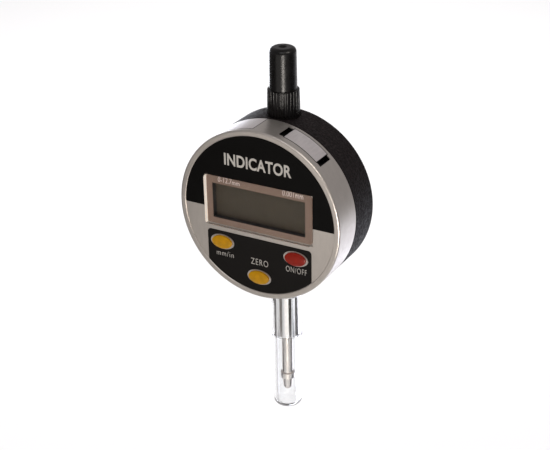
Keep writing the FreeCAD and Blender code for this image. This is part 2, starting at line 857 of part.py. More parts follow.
def make_board():
    """Circuit board with its chip, crystal, dome switches and screws."""
    board = body("circuit_board")
    plate(board, "board_disc", d.board_front, d.board_back, lambda made: circle(made, d.board_radius))
    over = d.board_radius * 2
    hollow(board, "board_flat", d.board_front, d.board_back, lambda made: rectangle(
        made, 0, d.board_top + d.board_radius, over, over))
    for side in (1, -1):
        hollow(board, f"board_side{side + 1}", d.board_front, d.board_back, lambda made: rectangle(
            made, (d.board_half + d.board_radius) * side, 0, over, over))
    for index, (x, up) in enumerate(board_post_places()):
        hollow(board, f"board_hole{index}", d.board_front, d.board_back,
               lambda made: circle(made, d.screw_radius + d.board_hole_gap, x, up))
    on_face(board, "circuit_board")

    half = d.chip_size / 2
    chip = block("chip_block", d.chip_x - half, d.chip_x + half, d.chip_up - half, d.chip_up + half,
                 d.board_back, d.board_back + d.chip_height)
    on_face(join("chip_placed", chip), "controller_chip")

    can = doc.addObject("Part::Cylinder", "crystal_can")
    bind(can, "Radius", d.crystal_radius)
    bind(can, "Height", d.crystal_length)
    move(can, d.crystal_x - d.crystal_length / 2, d.crystal_up, -d.board_back - d.crystal_radius,
         Rotation(Vector(0, 1, 0), 90))
    on_face(join("crystal_placed", can), "crystal")

    for name, (x, up) in button_places().items():
        dome = pillar(f"dome_{name}", d.dome_radius, x, up, d.dome_front, d.board_front)
        on_face(join(f"dome_{name}_placed", dome), f"dome_switch_{name}")
    for index, (x, up) in enumerate(board_post_places(), start=1):
        screw = countersunk(f"board_screw{index}", x, up, d.board_back + d.screw_head_height, -1)
        on_face(join(f"board_screw{index}_placed", screw), f"board_screw_{index}")


def make_buttons():
    for name, (x, up) in button_places().items():
        shaft = oval(f"shaft_{name}", d.button_long, d.button_short, x, up, 0, d.button_flange_back)
        flange = oval(f"flange_{name}", d.button_long + d.button_flange, d.button_short + d.button_flange,
                      x, up, d.button_flange_front, d.button_flange_back)
        plunger = pillar(f"plunger_{name}", d.button_plunger_radius, x, up, d.button_flange_back,
                         d.button_plunger_back)
        ball = doc.addObject("Part::Ellipsoid", f"ball_{name}")
        bind(ball, "Radius1", d.button_dome_rise)
        bind(ball, "Radius2", d.button_dome_long)
        bind(ball, "Radius3", d.button_dome_short)
        move(ball, x, up, 0)
        crown = overlap(f"crown_{name}", ball, oval(f"crown_prism_{name}", d.button_long, d.button_short,
                                                    x, up, -d.overshoot * 2, d.crown_overlap))
        on_face(join(f"button_{name}_solid", shaft, flange, plunger, crown), f"button_{name}")


def make_battery():
    """Drawer, cell and the two spring contacts of the bay."""
    low = d.drawer_low
    wide = d.drawer_half
    tray = overlap("drawer_arc",
                   block("drawer_block", -wide, wide, low, d.front_radius + d.overshoot,
                         d.drawer_front, d.drawer_back),
                   pillar("drawer_drum", d.front_radius, 0, 0, d.drawer_front, d.drawer_back))
    well = pillar("drawer_well", d.cell_radius + d.cell_gap, 0, d.cell_up, d.drawer_front + d.drawer_floor,
                  d.drawer_back + d.overshoot)
    slit = d.contact_bump_radius + d.contact_slit_gap
    under = low - d.overshoot
    rear_slit = block("rear_slit", -slit, slit, under, d.cell_up,
                      d.cell_front + d.cell_height - d.slit_overlap, d.drawer_back + d.overshoot)
    front_slit = block("front_slit", -slit, slit, under, d.cell_up + slit,
                       d.drawer_front - d.overshoot, d.cell_front)
    angle = SIZES["drawer_angle"]
    on_face(cut("drawer_cut", tray, well, rear_slit, front_slit), "battery_drawer", angle)
    cell = pillar("cell_can", d.cell_radius, 0, d.cell_up, d.cell_front, d.cell_front + d.cell_height)
    on_face(join("cell_placed", cell), "battery_cell", angle)

    reach = d.contact_length / 2
    bay_front = d.drawer_front - d.drawer_gap
    bay_back = d.swivel_seat_depth
    front = join("front_contact",
                 block("front_leaf", -d.contact_half, d.contact_half, d.cell_up - reach,
                       d.cell_up + reach, bay_front - d.contact_thickness, bay_front),
                 pillar("front_bump", d.contact_bump_radius, 0, d.cell_up, bay_front,
                        d.cell_front - d.fit_gap))
    rear = join("rear_contact",
                block("rear_leaf", -d.contact_half, d.contact_half, d.cell_up - reach,
                      d.cell_up + reach, bay_back - d.contact_thickness, bay_back),
                pillar("rear_bump", d.contact_bump_radius, 0, d.cell_up,
                       d.cell_front + d.cell_height + d.fit_gap, bay_back - d.contact_thickness))
    on_face(front, "battery_contact_front", angle)
    on_face(rear, "battery_contact_rear", angle)


def make_port():
    """Data port: its contact board and the flush cover that plugs it."""
    angle = -SIZES["port_angle"]
    gap = d.port_gap
    plug = block("port_plug", gap - d.port_mouth_half, d.port_mouth_half - gap, d.port_plug_low,
                 d.port_floor_radius + d.port_plug_overlap, d.port_mouth_front + gap, d.port_mouth_back - gap)
    on_face(join("port_cover_solid", port_shell("port_cover_plate", 0), plug), "port_cover", angle)
    pads = block("port_board", gap - d.port_mouth_half, d.port_mouth_half - gap, d.port_mouth_low,
                 d.port_mouth_low + d.port_board_thickness, d.port_mouth_front + gap,
                 d.port_mouth_back - gap)
    on_face(join("port_board_placed", pads), "port_contacts", angle)


# ---------------------------------------------------------------- rear housing

def back_boss_places():
    away = d.back_boss_offset
    return [(away, away), (-away, away), (away, -away), (-away, -away)]


def along_axis(name, radius, low, high):
    """A cylinder up the spindle axis, drawn on the face frame for the rear housing's booleans."""
    made = doc.addObject("Part::Cylinder", name)
    bind(made, "Radius", radius)
    bind(made, "Height", sized(high) - low)
    return move(made, 0, low, -d.spindle_depth, Rotation(Vector(1, 0, 0), -90))


def make_rear_housing():
    """The rear cup with its web, hollow swivel pivot, screw bosses and spindle bosses."""
    shell = body("rear_shell")
    web_front = d.front_depth + d.swivel_gap
    seat = d.cover_radius + d.cover_gap
    cup = turned(shell, "rear_cup", [
        (d.pivot_bore, -d.pivot_front),
        (d.pivot_neck, -d.pivot_front),
        (d.pivot_neck, -d.pivot_shoulder),
        (d.pivot_radius - d.pivot_clearance, -d.pivot_shoulder),
        (d.pivot_radius - d.pivot_clearance, -web_front),
        (d.rear_radius, -web_front),
        (d.rear_radius, -d.body_depth),
        (seat, -d.body_depth),
        (seat, -d.cover_front),
        (d.rear_inner_radius, -d.cover_front),
        (d.rear_inner_radius, -d.web_back),
        (d.pivot_bore, -d.web_back),
    ])
    rounded = dress(shell, "Fillet", "rear_rounded", cup,
                    ring_edges(cup.Shape, (d.rear_radius, -d.body_depth)), d.rear_rounding)
    dress(shell, "Chamfer", "rear_eased", rounded,
          ring_edges(rounded.Shape, (d.rear_radius, -web_front)), d.small_edge)

    def bosses(made):
        for x, up in back_boss_places():
            circle(made, d.back_boss_radius, x, up)

    plate(shell, "back_bosses", d.web_back, d.cover_front, bosses)
    drum = pillar("boss_limit", d.rear_inner_radius + d.wall_overlap, 0, 0, d.web_back - d.wall_overlap,
                  d.cover_front)
    high = overlap("top_boss", drum, along_axis("top_boss_rod", d.axis_boss_radius, d.axis_boss_inner,
                                                d.front_radius))
    low = overlap("bottom_boss", drum, along_axis("bottom_boss_rod", d.axis_boss_radius, -d.front_radius,
                                                  -d.axis_boss_inner))
    outside = d.front_radius + d.overshoot
    inside = d.axis_boss_inner - d.overshoot
    tools = [
        along_axis("stem_hole", d.stem_radius, -outside, -inside),
        along_axis("nipple_hole", d.nipple_radius, inside, outside),
        along_axis("low_spot", d.spot_radius, -outside, -d.spot_low),
        along_axis("high_spot", d.spot_radius, d.spot_high, outside),
    ]
    for index, (x, up) in enumerate(back_boss_places()):
        tools.append(countersunk(f"back_pilot{index}", x, up, d.body_depth - d.screw_recess, -1,
                                 d.screw_clearance))
    on_face(cut("rear_cut", join("rear_solid", shell, high, low), *tools), "rear_housing")


def make_back_cover():
    plain = body("back_cover")
    pad = plate(plain, "cover_disc", d.cover_front, d.body_depth, lambda made: circle(made, d.cover_radius))
    doc.recompute()
    dress(plain, "Chamfer", "cover_eased", pad,
          ring_edges(pad.Shape, (d.cover_radius, -d.body_depth)), d.small_edge)
    places = back_boss_places()
    face = d.body_depth - d.screw_recess
    holes = [countersunk(f"back_hole{index}", x, up, face, -1, d.screw_clearance)
             for index, (x, up) in enumerate(places)]
    on_face(cut("cover_cut", plain, *holes), "back_cover")
    for index, (x, up) in enumerate(places, start=1):
        screw = countersunk(f"back_screw{index}", x, up, face, -1)
        on_face(join(f"back_screw{index}_placed", screw), f"back_screw_{index}")


def make_swivel_retainer():
    ring = body("retainer")
    plate(ring, "retainer_ring", d.retainer_front, d.pivot_shoulder, lambda made: (
        circle(made, d.retainer_radius), circle(made, d.pivot_neck)))
    on_face(ring, "swivel_retainer")


def make_reader():
    """Reading head board on the web, and the ribbon that leads through the pivot."""
    board = block("reader_block", -d.reader_half, d.reader_half, -d.reader_half_height,
                  d.reader_half_height, d.web_back, d.reader_back)
    on_face(join("reader_placed", board), "reader_board")
    ribbon = block("ribbon_strip", -d.ribbon_half, d.ribbon_half, -d.ribbon_half_thickness,
                   d.ribbon_half_thickness, d.board_back + d.ribbon_gap, d.web_back)
    on_face(join("ribbon_placed", ribbon), "ribbon_cable")


def make_guide():
    """Slotted rail that keeps the spindle from turning."""
    solid = block("rail_block", d.rail_outer, d.rail_inner, d.rail_low, d.rail_high, d.web_back, d.rail_back)
    half = d.guide_pin_radius + d.guide_clearance
    slot = block("rail_slot", d.rail_outer - d.overshoot, d.rail_inner + d.overshoot, d.rail_slot_low,
                 d.rail_slot_high, d.guide_pin_depth - half, d.guide_pin_depth + half)
    on_face(cut("rail_cut", solid, slot), "guide_rail")


def make_spring():
    """Return spring beside the spindle, and its lower anchor post."""
    helix = doc.addObject("Part::Helix", "spring_helix")
    bind(helix, "Pitch", d.spring_pitch)
    bind(helix, "Height", d.spring_length)
    bind(helix, "Radius", d.spring_radius)
    wire = doc.addObject("Part::Circle", "spring_wire")
    bind(wire, "Radius", d.spring_wire)
    move(wire, d.spring_radius, 0, 0, Rotation(Vector(1, 0, 0), 90))
    coil = doc.addObject("Part::Sweep", "spring_coil")
    coil.Sections = [wire]
    coil.Spine = (helix, ["Edge1"])
    coil.Solid = True
    coil.Frenet = True
    node(move(coil, d.spring_x, 0, d.centre_height + d.spring_low), "return_spring")
    post = pillar("anchor_post", d.spring_pin_radius, d.spring_x,
                  d.spring_low - d.spring_pin_radius - d.spring_pin_gap, d.web_back,
                  d.spindle_depth + d.spring_radius)
    on_face(join("anchor_placed", post), "spring_anchor")


# ---------------------------------------------------------------- stem and bushes

def make_stem():
    """Clamping stem: a short free length under its flange, a groove, then the guarded length."""
    stem = body("stem")
    tube = turned(stem, "stem_turned", [
        (d.stem_bore, d.stem_top),
        (d.stem_radius, d.stem_top),
        (d.stem_radius, -d.spot_low),
        (d.stem_flange_radius, -d.spot_low),
        (d.stem_flange_radius, -d.centre_height),
        (d.stem_radius, -d.centre_height),
        (d.stem_radius, d.stem_groove_top),
        (d.stem_groove_radius, d.stem_groove_top),
        (d.stem_groove_radius, d.stem_groove_bottom),
        (d.stem_radius, d.stem_groove_bottom),
        (d.stem_radius, d.stem_bottom),
        (d.stem_bore, d.stem_bottom),
    ])
    dress(stem, "Chamfer", "stem_eased", tube,
          ring_edges(tube.Shape, (d.stem_radius, d.stem_bottom)), d.stem_chamfer)
    on_axis(stem, "stem")


def make_bush(name, outer, low, high):
    bush = body(name)
    running = d.spindle_radius + d.spindle_clearance
    turned(bush, f"{name}_turned", [(running, low), (outer, low), (outer, high), (running, high)])
    on_axis(bush, name)


def make_bushes():
    end = d.stem_bottom + d.lower_bush_inset
    make_bush("lower_bush", d.stem_bore, end, end + d.bush_length)
    make_bush("middle_bush", d.stem_bore, d.stem_top - d.bush_length, d.stem_top)
    make_bush("top_nipple", d.nipple_radius, d.axis_boss_inner, d.nipple_top)
    bumper = body("stop_bumper")
    inner = d.spindle_radius + d.bumper_gap
    high = d.stop_low - d.bumper_gap
    turned(bumper, "bumper_turned", [
        (inner, d.stem_top), (d.bumper_radius, d.stem_top), (d.bumper_radius, high), (inner, high)])
    on_axis(bumper, "stop_bumper")


# ---------------------------------------------------------------- spindle

def make_spindle():
    spindle = body("spindle")
    shank = d.spindle_bottom + d.point_shank_length + d.point_shank_gap
    shaft = turned(spindle, "spindle_turned", [
        (0, shank),
        (d.point_shank_radius, shank),
        (d.point_shank_radius, d.spindle_bottom),
        (d.spindle_radius, d.spindle_bottom),
        (d.spindle_radius, d.spindle_top),
        (0, d.spindle_top),
    ])
    dress(spindle, "Chamfer", "spindle_eased", shaft,
          ring_edges(shaft.Shape, (d.spindle_radius, d.spindle_top)), d.spindle_chamfer)
    on_axis(spindle, "spindle")


def make_contact_point():
    point = body("contact_point")
    shank = d.spindle_bottom + d.point_shank_length
    turned(point, "point_turned", [
        (0, shank),
        (d.point_shank_radius, shank),
        (d.point_shank_radius, d.spindle_bottom),
        (d.point_radius, d.spindle_bottom),
        (d.point_radius, d.point_shoulder),
        (d.point_stub_radius, d.point_stub),
        (d.point_nose_radius, d.point_nose),
        (0, d.point_nose),
    ])
    on_axis(cut("point_cut", point, contact_ball("point_socket")), "contact_point")
    on_axis(join("ball_placed", contact_ball("ball_solid")), "contact_ball")


def contact_ball(name):
    ball = doc.addObject("Part::Sphere", name)
    bind(ball, "Radius", d.ball_radius)
    return move(ball, 0, 0, d.ball_up)


def make_carrier():
    """Block on the spindle with the scale, the guide pin, the spring's pin and the stop collar."""
    solid = block("carrier_block", -d.carrier_half, d.carrier_half, d.carrier_low, d.carrier_high,
                  d.carrier_front, d.carrier_back)
    bore = along_axis("carrier_bore", d.spindle_radius, d.carrier_low - d.overshoot,
                      d.carrier_high + d.overshoot)
    on_face(cut("carrier_cut", solid, bore), "scale_carrier")

    plain = block("scale_block", -d.scale_half, d.scale_half, d.scale_low, d.scale_high, d.scale_front,
                  d.carrier_front)
    on_face(join("scale_placed", plain), "scale_plate")

    on_face(join("guide_pin_placed", side_pin("guide_pin_rod", d.guide_pin_radius, d.guide_pin_reach,
                                              -d.carrier_half, d.guide_pin_up, d.guide_pin_depth)),
            "guide_pin")
    pin_up = d.spring_low + d.spring_length + d.spring_pin_radius + d.spring_pin_gap
    on_face(join("spring_pin_placed", side_pin("spring_pin_rod", d.spring_pin_radius, d.carrier_half,
                                               d.spring_x + d.spring_radius, pin_up, d.spindle_depth)),
            "spring_pin")

    collar = body("stop_collar")
    turned(collar, "collar_turned", [
        (d.spindle_radius, d.stop_low), (d.stop_radius, d.stop_low),
        (d.stop_radius, d.stop_high), (d.spindle_radius, d.stop_high)])
    on_axis(collar, "stop_collar")


def side_pin(name, radius, left, right, up, depth):
    """A pin across the face frame, from `left` to `right`."""
    made = doc.addObject("Part::Cylinder", name)
    bind(made, "Radius", radius)
    bind(made, "Height", sized(right) - left)
    return move(made, left, up, -sized(depth), Rotation(Vector(0, 1, 0), 90))


# ---------------------------------------------------------------- dust cap and guard tube

def make_dust_cap():
    cap = body("dust_cap")
    turned_cap = turned(cap, "cap_turned", [
        (d.cap_thread_radius, d.cap_bottom),
        (d.cap_collar_radius, d.cap_bottom),
        (d.cap_collar_top_radius, d.cap_collar_top),
        (d.cap_shaft_radius, d.cap_collar_top + d.cap_shoulder),
        (d.cap_tip_radius, d.cap_top),
        (d.cap_dimple_radius, d.cap_top),
        (0, d.cap_top - d.cap_dimple_depth),
        (0, d.cap_bore_top),
        (d.cap_bore_radius, d.cap_bore_top),
        (d.cap_bore_radius, d.cap_thread_top),
        (d.cap_thread_radius, d.cap_thread_top),
    ])
    top = dress(cap, "Fillet", "cap_rounded", turned_cap,
                ring_edges(turned_cap.Shape, (d.cap_tip_radius, d.cap_top)), d.cap_rounding)
    low = dress(cap, "Chamfer", "cap_eased", top,
                ring_edges(top.Shape, (d.cap_collar_radius, d.cap_bottom)), d.small_edge)
    flute = sketch(cap, "flute_sketch", height=d.cap_bottom + d.flute_start)
    circle(flute, d.flute_radius, d.flute_centre_radius, 0)
    groove = cap.newObject("PartDesign::Pocket", "flute")
    groove.Profile = flute
    groove.Reversed = True
    bind(groove, "Length", d.cap_collar_top - d.cap_bottom)
    doc.recompute()
    pattern = cap.newObject("PartDesign::PolarPattern", "flutes")
    pattern.Originals = [groove]
    pattern.Axis = (flute, ["N_Axis"])
    pattern.Angle = 360
    pattern.Occurrences = SIZES["flute_count"]
    pattern.setExpression("Occurrences", d.flute_count.formula)
    cap.Tip = pattern
    doc.recompute()
    assert pattern.Shape.Volume < low.Shape.Volume, "the flutes cut nothing"
    on_axis(cap, "dust_cap")


def make_guard_tube():
    tube = body("guard_tube")
    plain = turned(tube, "guard_turned", [
        (d.guard_grip_radius, d.guard_top),
        (d.guard_collar_radius, d.guard_top),
        (d.guard_collar_radius, d.guard_step),
        (d.guard_radius, d.guard_step - d.guard_step_drop),
        (d.guard_radius, d.guard_bottom),
        (0, d.guard_bottom),
        (0, d.guard_floor),
        (d.guard_bore_radius, d.guard_floor),
        (d.guard_bore_radius, d.guard_ledge),
        (d.guard_grip_radius, d.guard_ledge),
    ])
    soft = dress(tube, "Fillet", "guard_rounded", plain,
                 ring_edges(plain.Shape, (d.guard_radius, d.guard_bottom)), d.guard_rounding)
    inner = dress(tube, "Fillet", "guard_inner_rounded", soft,
                  ring_edges(soft.Shape, (d.guard_bore_radius, d.guard_floor)), d.guard_inner_rounding)
    dress(tube, "Fillet", "guard_lip", inner,
          ring_edges(inner.Shape, (d.guard_collar_radius, d.guard_top)), d.small_edge)
    on_axis(tube, "guard_tube")


# ---------------------------------------------------------------- build

def check_document():
    """Stop if any feature failed or any sub-part's shape is missing or not valid."""
    failed = [item.Name + ": " + item.getStatusString() for item in doc.Objects
              if "Invalid" in item.State or "Error" in item.State]
    for item in NODES:
        if item.Shape.isNull() or not item.Shape.isValid() or not item.Shape.Solids:
            failed.append(item.Label)
    if failed:
        raise SystemExit("failed: " + ", ".join(failed))


def main():
    make_front_housing()
    make_swivel_plate()
    make_labels()
    make_display_window()
    make_board()
    make_buttons()
    make_battery()
    make_port()
    make_rear_housing()
    make_back_cover()
    make_swivel_retainer()
    make_reader()
    make_guide()
    make_spring()
    make_stem()
    make_bushes()
    make_spindle()
    make_contact_point()
    make_carrier()
    make_dust_cap()
    make_guard_tube()
    doc.recompute()
    check_document()
    os.makedirs("parts", exist_ok=True)
    for item in NODES:
        item.Shape.exportStep(f"parts/{item.Label}.step")
        print(item.Label, len(item.Shape.Solids), round(item.Shape.Volume, 2))
    print(len(NODES), "sub-parts")


main()
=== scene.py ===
import json
import math

import bpy
from mathutils import Euler, Matrix, Vector


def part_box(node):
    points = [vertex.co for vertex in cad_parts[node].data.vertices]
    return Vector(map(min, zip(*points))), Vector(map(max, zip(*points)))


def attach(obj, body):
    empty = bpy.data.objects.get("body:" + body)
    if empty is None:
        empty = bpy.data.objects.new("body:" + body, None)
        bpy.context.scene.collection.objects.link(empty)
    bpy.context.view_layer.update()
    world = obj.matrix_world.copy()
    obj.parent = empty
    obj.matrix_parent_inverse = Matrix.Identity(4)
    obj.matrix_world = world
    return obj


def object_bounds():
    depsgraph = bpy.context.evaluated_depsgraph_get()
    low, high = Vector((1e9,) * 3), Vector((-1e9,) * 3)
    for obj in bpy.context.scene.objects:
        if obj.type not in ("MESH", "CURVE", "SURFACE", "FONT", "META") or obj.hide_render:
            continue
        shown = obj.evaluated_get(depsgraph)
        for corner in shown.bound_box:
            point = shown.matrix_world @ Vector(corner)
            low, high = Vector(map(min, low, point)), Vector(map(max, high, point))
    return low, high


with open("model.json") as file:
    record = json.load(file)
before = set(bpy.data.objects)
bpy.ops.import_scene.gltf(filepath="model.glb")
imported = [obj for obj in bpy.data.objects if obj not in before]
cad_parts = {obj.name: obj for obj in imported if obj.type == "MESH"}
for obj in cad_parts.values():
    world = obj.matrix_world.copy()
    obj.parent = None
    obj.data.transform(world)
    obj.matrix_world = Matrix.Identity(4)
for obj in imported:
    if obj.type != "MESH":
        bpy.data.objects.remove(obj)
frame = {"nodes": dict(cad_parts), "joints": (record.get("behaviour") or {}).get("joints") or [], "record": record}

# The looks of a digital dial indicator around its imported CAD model. Every length is in metres in
# the row frame: +Z up the spindle, +X right across the face, the face looks along -Y.

MM = 0.001
cad_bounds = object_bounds()
nodes = frame["nodes"]

front_low, front_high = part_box("front_housing")
face_radius = (front_high.x - front_low.x) / 2
face_centre = Vector((0, front_low.y, (front_low.z + front_high.z) / 2))


# ---------------------------------------------------------------- materials

# The colour sockets of a Mix node, whose names it shares with its float and vector sockets.
MIX_START = 6
MIX_END = 7
MIX_RESULT = 2

# The near-black colour of the painted shade laid in recesses, gaps and the rim's inside.
PAINTED_SHADE = (0.006, 0.0055, 0.005)
SILVER_PLASTIC = (0.58, 0.54, 0.53)
STEEL = (0.45, 0.45, 0.44)

# Where painted shade fades in, inside the rim, along the lids' edges and in the screw recesses, as depths in from
# the surface or edge it belongs to.
RIM_SHADE_START = 0.45 * MM
RIM_SHADE_END = 0.25 * MM
SHADE_FADE = 0.1 * MM
FACE_SHADE_DEPTH = 2.2 * MM
LID_OUTER_DEPTH = 1.2 * MM
LID_SHADE_START = 0.10 * MM
LID_SHADE_END = 0.16 * MM
RECESS_START = 0.30 * MM
RECESS_END = 0.05 * MM


class Finish:
    """A procedural material: one Principled shader and the nodes that feed it."""

    def __init__(self, name, colour, roughness, metallic=0.0):
        self.material = bpy.data.materials.new(name)
        self.material.use_nodes = True
        self.tree = self.material.node_tree
        self.shader = self.tree.nodes["Principled BSDF"]
        self.colour = colour
        self.set("Base Color", (*colour, 1))
        self.set("Roughness", roughness)
        self.set("Metallic", metallic)
        self.roughness = roughness
        self.normal = None

    def set(self, socket, value):
        self.shader.inputs[socket].default_value = value
        return self

    def node(self, kind, **values):
        """Add a node. Each value is linked to or set on the input of that name, or else sets the node."""
        made = self.tree.nodes.new(kind)
        for key, value in values.items():
            if isinstance(value, bpy.types.NodeSocket):
                self.tree.links.new(value, made.inputs[key])
            elif key in made.inputs:
                made.inputs[key].default_value = value
            else:
                setattr(made, key, value)
        return made

    def math(self, operation, first, second):
        """A Math node on two sockets or numbers."""
        made = self.node("ShaderNodeMath", operation=operation)
        for socket, value in zip(made.inputs, (first, second)):
            if isinstance(value, bpy.types.NodeSocket):
                self.tree.links.new(value, socket)
            else:
                socket.default_value = value
        return made.outputs[0]

    def place(self):
        """The shaded point in the piece's own frame, which is the row frame, in metres."""
        return self.node("ShaderNodeTexCoord").outputs["Object"]

    def place_parts(self):
        """The X, Y and Z outputs for the shaded point."""
        return self.node("ShaderNodeSeparateXYZ", Vector=self.place()).outputs

    def noise(self, grain, detail, stretch=(1, 1, 1)):
        """Noise whose features are about `grain` metres wide, on axes first scaled by `stretch`."""
        spot = self.node("ShaderNodeMapping", Vector=self.place(), Scale=stretch).outputs["Vector"]
        return self.node("ShaderNodeTexNoise", Vector=spot, Scale=1 / grain, Detail=detail).outputs["Fac"]

    def ramp(self, source, low, high, start=0.3, end=0.7):
        """Go from `low` to `high` as `source` goes from `start` to `end`, and stay level beyond them."""
        made = self.node("ShaderNodeMapRange", Value=source)
        for key, value in (("From Min", start), ("From Max", end), ("To Min", low), ("To Max", high)):
            made.inputs[key].default_value = value
        return made.outputs["Result"]

    def mix_colour(self, share, start, end):
        """Run the colour from `start`, a colour or a socket, to `end` as `share` goes from 0 to 1."""
        mix = self.node("ShaderNodeMix", data_type="RGBA")
        self.tree.links.new(share, mix.inputs["Factor"])
        if isinstance(start, bpy.types.NodeSocket):
            self.tree.links.new(start, mix.inputs[MIX_START])
        else:
            mix.inputs[MIX_START].default_value = (*start, 1)
        mix.inputs[MIX_END].default_value = (*end, 1)
        self.tree.links.new(mix.outputs[MIX_RESULT], self.shader.inputs["Base Color"])
        return self

    def vary_colour(self, source, change):
        """Darken and lighten the colour by `change` where `source` runs from low to high."""
        dark = [part * (1 - change) for part in self.colour]
        light = [min(1, part * (1 + change)) for part in self.colour]
        return self.mix_colour(self.ramp(source, 0, 1), dark, light)

    def speckle(self, source, light, start, end):
        """Go over to the `light` colour where `source` rises from `start` to `end`."""
        return self.mix_colour(self.ramp(source, 0, 1, start, end), self.colour, light)

    def paint_shade(self, share):
        """Cover the colour so far with painted shade where `share` is 1."""
        unshaded = self.shader.inputs["Base Color"].links[0].from_socket
        return self.mix_colour(share, unshaded, PAINTED_SHADE)

    def vary_roughness(self, source, change):
        """Raise and lower the roughness by `change` where `source` runs from low to high."""
        value = self.ramp(source, self.roughness - change, self.roughness + change)
        self.tree.links.new(value, self.shader.inputs["Roughness"])
        return self

    def bump(self, source, depth, strength):
        """Raise the surface by up to `depth` metres where `source` is high."""
        values = dict(Height=source, Distance=depth, Strength=strength)
        if self.normal is not None:
            values["Normal"] = self.normal
        self.normal = self.node("ShaderNodeBump", **values).outputs["Normal"]
        self.tree.links.new(self.normal, self.shader.inputs["Normal"])
        return self


def paint_inside_shade(made, depth):
    """Painted shade: within the rim and past `depth` behind the face the colour goes black, as shade in the
    recesses there.
    """
    x, y, z = made.place_parts()
    from_axis = made.node("ShaderNodeCombineXYZ", X=x, Y=made.math("SUBTRACT", z, face_centre.z))
    radius = made.node("ShaderNodeVectorMath", operation="LENGTH", Vector=from_axis.outputs["Vector"])
    deep = made.ramp(radius.outputs["Value"], 1, 0, face_radius - RIM_SHADE_START,
                     face_radius - RIM_SHADE_END)
    behind = made.ramp(y, 0, 1, face_centre.y + depth, face_centre.y + depth + SHADE_FADE)
    # Painted shade: black inside the rim and in the recesses behind the face.
    return made.paint_shade(made.math("MULTIPLY", deep, behind))


def satin_silver():
    made = Finish("satin_silver", (0.44, 0.405, 0.37), roughness=0.36, metallic=0.85)
    made.vary_colour(made.noise(0.0013, detail=4, stretch=(1, 1, 0.3)), 0.035)
    made.vary_roughness(made.noise(0.0015, detail=3), 0.05)
    made.bump(made.noise(0.00022, detail=3), depth=0.000008, strength=0.5)
    # The inside of the rim gets painted shade.
    return paint_inside_shade(made, FACE_SHADE_DEPTH)


def moulded_silver(name, grain, stretch=(1, 1, 1)):
    """Silver-coated moulded plastic, mottled at the size of `grain`."""
    made = Finish(name, SILVER_PLASTIC, roughness=0.40, metallic=0.80)
    made.vary_colour(made.noise(grain, detail=3, stretch=stretch), 0.06)
    made.vary_roughness(made.noise(0.001, detail=3), 0.05)
    return made.bump(made.noise(0.00018, detail=2), depth=0.000010, strength=0.6)


def silver_plastic():
    # The inside of the rim gets painted shade.
    return paint_inside_shade(moulded_silver("silver_plastic", 0.004), depth=0)


def black_crinkle():
    made = Finish("black_crinkle", (0.0062, 0.0048, 0.0047), roughness=0.6)
    made.set("Specular IOR Level", 0.085).set("Specular Tint", (1, 0.88, 0.90, 1))
    wrinkle = made.noise(0.0008, detail=4)
    made.speckle(made.noise(0.0007, detail=3), (0.0185, 0.0142, 0.0142), 0.50, 0.66)
    made.vary_roughness(wrinkle, 0.15)
    made.bump(made.ramp(wrinkle, 0, 1, 0.38, 0.62), depth=0.00014, strength=1.0)
    return made.bump(made.noise(0.00012, detail=2), depth=0.00002, strength=0.5)


def black_panel(name="black_panel", colour=(0.0022, 0.0018, 0.0014), gloss=0.06):
    made = Finish(name, colour, roughness=0.34)
    made.set("Specular IOR Level", gloss)
    made.vary_roughness(made.noise(0.003, detail=3), 0.05)
    return made.bump(made.noise(0.00025, detail=2), depth=0.000004, strength=0.4)


def black_plastic():
    made = Finish("black_plastic", (0.012, 0.012, 0.012), roughness=0.5)
    return made.bump(made.noise(0.0002, detail=2), depth=0.000008, strength=0.5)


def black_gloss():
    made = Finish("black_gloss", (0.0022, 0.0015, 0.0011), roughness=0.29)
    made.set("Specular IOR Level", 0.25)
    made.vary_roughness(made.noise(0.002, detail=3), 0.06)
    return made.bump(made.noise(0.0012, detail=2), depth=0.000008, strength=0.2)


def clear_lens():
    made = Finish("clear_lens", (0.98, 0.965, 0.945), roughness=0.03)
    made.set("Transmission Weight", 1.0).set("IOR", 1.12).set("Specular Tint", (0, 0, 0, 1))
    return made.bump(made.noise(0.004, detail=1), depth=0.000003, strength=0.2)


def clear_plastic():
    made = Finish("clear_plastic", (0.97, 0.975, 0.98), roughness=0.03)
    made.set("Transmission Weight", 1.0).set("IOR", 1.47)
    return made.bump(made.noise(0.005, detail=1, stretch=(1, 1, 0.2)), depth=0.00001, strength=0.3)


def bronze_print():
    made = Finish("bronze_print", (0.25, 0.168, 0.126), roughness=0.42, metallic=0.2)
    made.vary_colour(made.noise(0.0003, detail=3), 0.08)
    return made.bump(made.noise(0.0002, detail=2), depth=0.000004, strength=0.4)


def lcd():
    made = Finish("lcd", (0.070, 0.057, 0.039), roughness=0.45)
    made.set("Specular IOR Level", 0.25)
    return made.vary_colour(made.noise(0.012, detail=2), 0.06)


def button(name, colour):
    made = Finish(name, colour, roughness=0.34)
    made.set("Specular IOR Level", 0.15)
    made.set("Subsurface Weight", 0.08).set("Subsurface Scale", 0.0006)
    made.vary_colour(made.noise(0.0016, detail=3), 0.12)
    made.vary_roughness(made.noise(0.0008, detail=3), 0.05)
    return made.bump(made.noise(0.0003, detail=2), depth=0.00001, strength=0.4)


def yellow_button():
    return button("yellow_button", (0.62, 0.30, 0.001))


def red_button():
    return button("red_button", (0.32, 0.014, 0.004))


def turned_metal(name, colour, roughness):
    """Metal turned or ground round the spindle's axis: fine rings across z."""
    made = Finish(name, colour, roughness, metallic=1.0)
    rings = made.noise(0.00012, detail=2, stretch=(0.03, 0.03, 1))
    made.vary_roughness(rings, 0.05).vary_colour(made.noise(0.003, detail=2), 0.04)
    return made.bump(rings, depth=0.000004, strength=0.35)


def chrome():
    return turned_metal("chrome", (0.86, 0.85, 0.84), 0.08)


def hard_steel():
    return turned_metal("hard_steel", (0.72, 0.68, 0.64), 0.16)


def steel():
    return turned_metal("steel", STEEL, 0.3)


